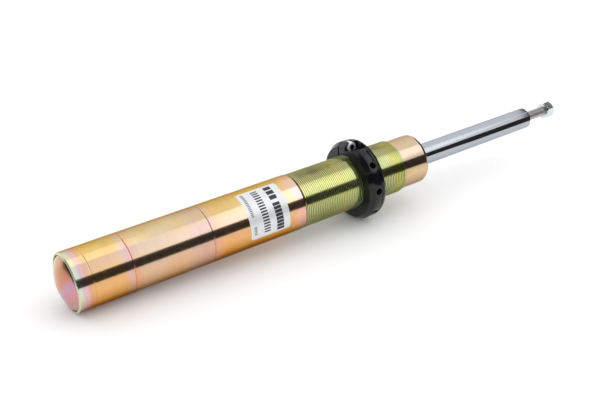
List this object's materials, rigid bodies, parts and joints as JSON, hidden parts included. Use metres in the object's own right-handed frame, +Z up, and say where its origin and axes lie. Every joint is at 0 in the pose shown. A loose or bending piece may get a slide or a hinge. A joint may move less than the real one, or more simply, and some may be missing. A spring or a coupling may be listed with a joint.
{
  "type": "coilover strut",
  "caption": "Coilover damper leg: twin-tube gas strut in a threaded clamp sleeve, with a split spring perch locked by a pinch screw, and a chromed rod ending in a stud and nut.",
  "frame": {"origin": "on the strut's axis, 1.5 mm inside the bottom rim of the clamp sleeve, where its straight clamped wall has begun", "axes": "+X along the strut from the domed bottom to the rod's stud, +Z up with the strut lying on its side, pinch screw uppermost"},
  "size_m": [0.583, 0.0784, 0.0782],
  "materials": {
    "yellow_zinc": "yellow zinc passivation, turned, glossy with an iridescent sheen",
    "tan_zinc": "yellow zinc passivation, drawn tube, glossy",
    "salmon_zinc": "yellow zinc passivation over pressed steel, satin",
    "olive_zinc": "yellow-green zinc passivation on a cut thread",
    "label_foil": "silver-white foil label with black print blocks",
    "honed_steel": "honed or turned plain steel",
    "sintered_iron": "sintered, oiled",
    "spring_steel": "blued spring steel shims",
    "bronze_bush": "bronze-backed low-friction bush",
    "seal_rubber": "moulded rubber, satin",
    "glide_band": "filled low-friction plastic band",
    "chromed_rod": "ground and hard-chromed, mirror-like",
    "white_zinc": "clear blue-white zinc plating",
    "black_anodised": "black anodised, turned and milled, satin gloss"
  },
  "bodies": {
    "strut_body": {"reserve_tube": "tan_zinc", "bottom_cap": "salmon_zinc", "clamp_sleeve": "yellow_zinc", "threaded_sleeve": "olive_zinc", "label": "label_foil", "inner_cylinder": "honed_steel", "base_valve_body": "sintered_iron", "base_valve_pin": "honed_steel", "base_valve_discs": "spring_steel", "base_check_plate": "spring_steel", "base_check_spring": "spring_steel", "rod_guide": "sintered_iron", "guide_bush": "bronze_bush", "oil_seal": "seal_rubber", "seal_washer": "honed_steel"},
    "glide_band": {"piston_band": "glide_band"},
    "rod": {"piston_rod": "chromed_rod", "piston": "sintered_iron", "compression_discs": "spring_steel", "rebound_discs": "spring_steel", "piston_nut": "white_zinc", "rebound_stop": "honed_steel", "rebound_buffer": "seal_rubber", "top_nut": "white_zinc"},
    "perch": {"perch_collar": "black_anodised"},
    "pinch_screw": {"pinch_screw": "white_zinc"}
  },
  "joints": [
    {"name": "rod_slide", "type": "slide", "parent": "strut_body", "child": "glide_band", "axis": [1, 0, 0], "range_m": [-0.15, 0], "stiffness_N_per_m": 100, "springref_m": 1.5},
    {"name": "rod_spin", "type": "hinge", "parent": "glide_band", "child": "rod", "pos_m": [0.212, 0, 0], "axis": [1, 0, 0], "continuous": true},
    {"name": "perch_height", "type": "slide", "parent": "strut_body", "child": "perch", "axis": [1, 0, 0], "range_m": [-0.065, 0.032]},
    {"name": "pinch_screw_turn", "type": "hinge", "parent": "perch", "child": "pinch_screw", "pos_m": [0.2995, 0.00293, 0.03347], "axis": [0, -0.9962, 0.0872], "range_deg": [0, 360]}
  ]
}
